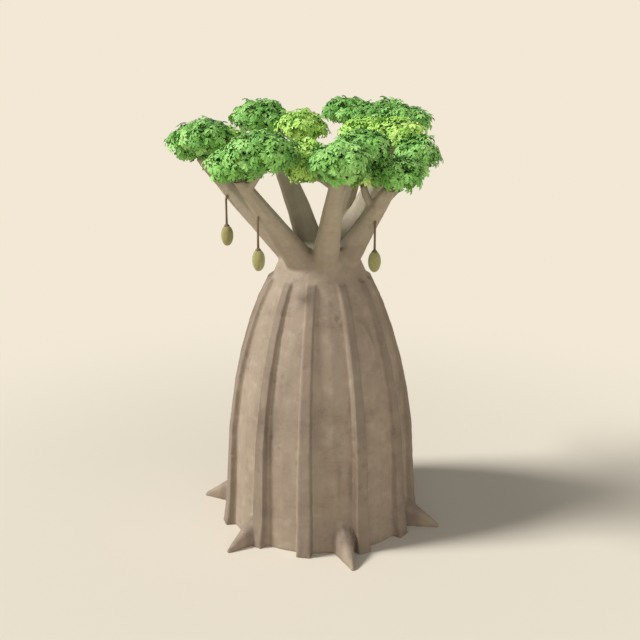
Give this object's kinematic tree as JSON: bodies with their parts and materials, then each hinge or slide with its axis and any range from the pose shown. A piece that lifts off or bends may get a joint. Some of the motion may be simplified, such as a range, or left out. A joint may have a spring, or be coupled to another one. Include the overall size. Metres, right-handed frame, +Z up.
{
  "type": "baobab tree",
  "caption": "Bottle-shaped baobab with a ribbed swollen trunk on short surface roots, boughs that fan out from its shoulder and flat tufts of green foliage; stands rooted on level ground.",
  "frame": {"origin": "middle of the trunk's flat cut at ground level", "axes": "+Z up along the trunk, -Y towards the tree's front, +X to the right as seen from the front"},
  "size_m": [5.1411, 4.9947, 7.985],
  "materials": {
    "bark": "matt grey-brown bark, smooth with fine wrinkles",
    "leaf_green": "soft mid-green foliage",
    "leaf_lime": "soft lime-green young foliage"
  },
  "bodies": {
    "root": {"bough_back": "bark", "bough_back_left": "bark", "bough_front": "bark", "bough_front_left": "bark", "bough_front_right": "bark", "bough_left": "bark", "bough_right": "bark", "branch_back_far": "bark", "branch_back_inner": "bark", "branch_back_left_back": "bark", "branch_back_left_inner": "bark", "branch_back_side": "bark", "branch_front_inner": "bark", "branch_front_left_inner": "bark", "branch_front_left_side": "bark", "branch_front_right_inner": "bark", "branch_front_right_outer": "bark", "branch_front_side": "bark", "branch_left_inner": "bark", "branch_left_outer": "bark", "branch_right_inner": "bark", "foliage_back_far": "leaf_green", "foliage_back_inner": "leaf_lime", "foliage_back_left_back": "leaf_green", "foliage_back_left_inner": "leaf_lime", "foliage_back_left_outer": "leaf_green", "foliage_back_outer": "leaf_green", "foliage_back_side": "leaf_green", "foliage_front_inner": "leaf_lime", "foliage_front_left_inner": "leaf_lime", "foliage_front_left_outer": "leaf_green", "foliage_front_left_side": "leaf_green", "foliage_front_outer": "leaf_green", "foliage_front_right_inner": "leaf_lime", "foliage_front_right_low": "leaf_green", "foliage_front_right_outer": "leaf_green", "foliage_front_side": "leaf_green", "foliage_left_back": "leaf_green", "foliage_left_inner": "leaf_lime", "foliage_left_outer": "leaf_green", "foliage_right_inner": "leaf_lime", "foliage_right_outer": "leaf_green", "trunk": "bark"}
  },
  "joints": []
}
